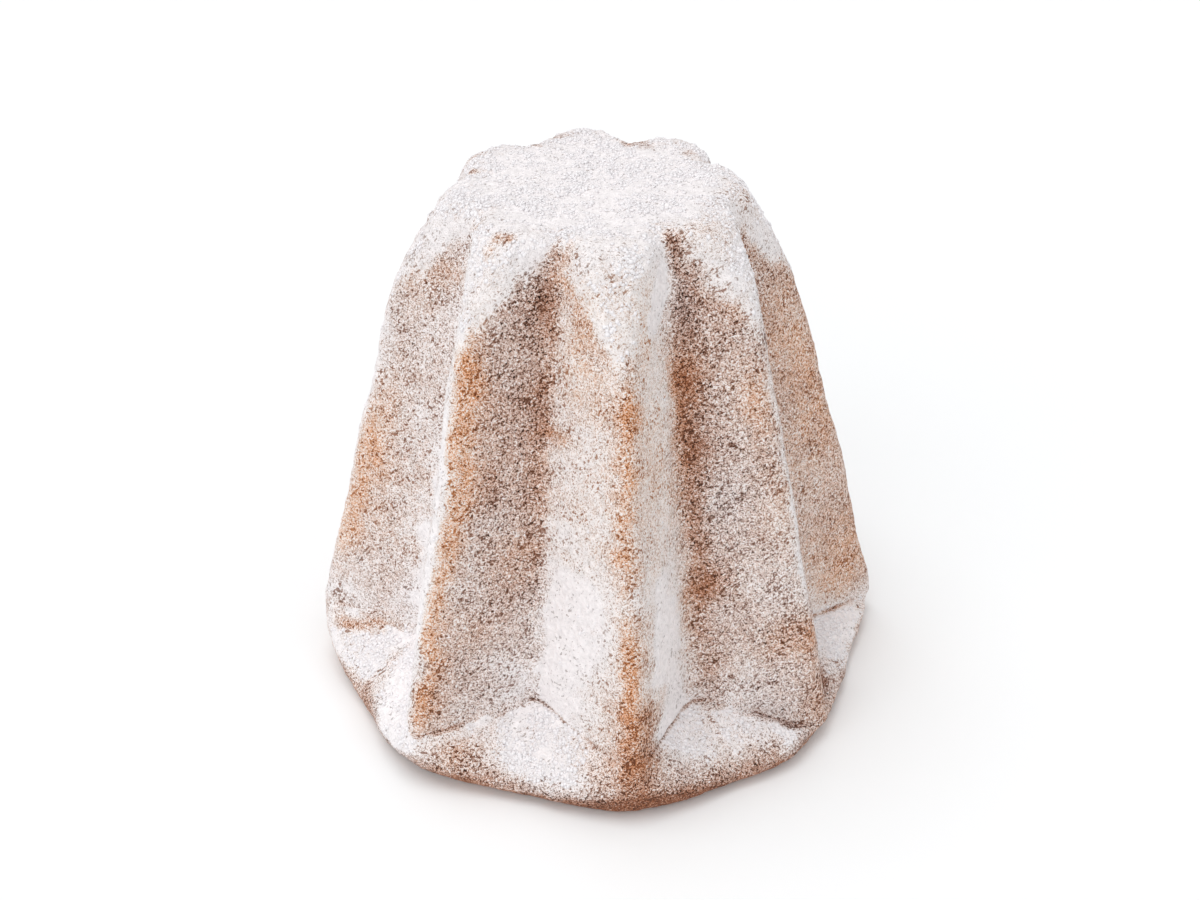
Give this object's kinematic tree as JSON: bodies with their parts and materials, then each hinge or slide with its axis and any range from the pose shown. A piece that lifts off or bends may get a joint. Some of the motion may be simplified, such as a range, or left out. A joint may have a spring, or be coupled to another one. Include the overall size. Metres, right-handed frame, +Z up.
{
  "type": "pandoro",
  "caption": "Uncut star-shaped sweet bread, tall and tapering, standing on its wide end, with chamfered ridges, overflow ledges at the base and icing sugar all over.",
  "frame": {"origin": "middle of the flat underside that the cake stands on", "axes": "+Z up through the middle of the star; the ridge nearest the viewer points to -Y"},
  "size_m": [0.2112, 0.2098, 0.184],
  "materials": {
    "sugared_crust": "matt golden-brown crust under speckled icing sugar"
  },
  "bodies": {
    "root": {"pandoro": "sugared_crust"}
  },
  "joints": []
}
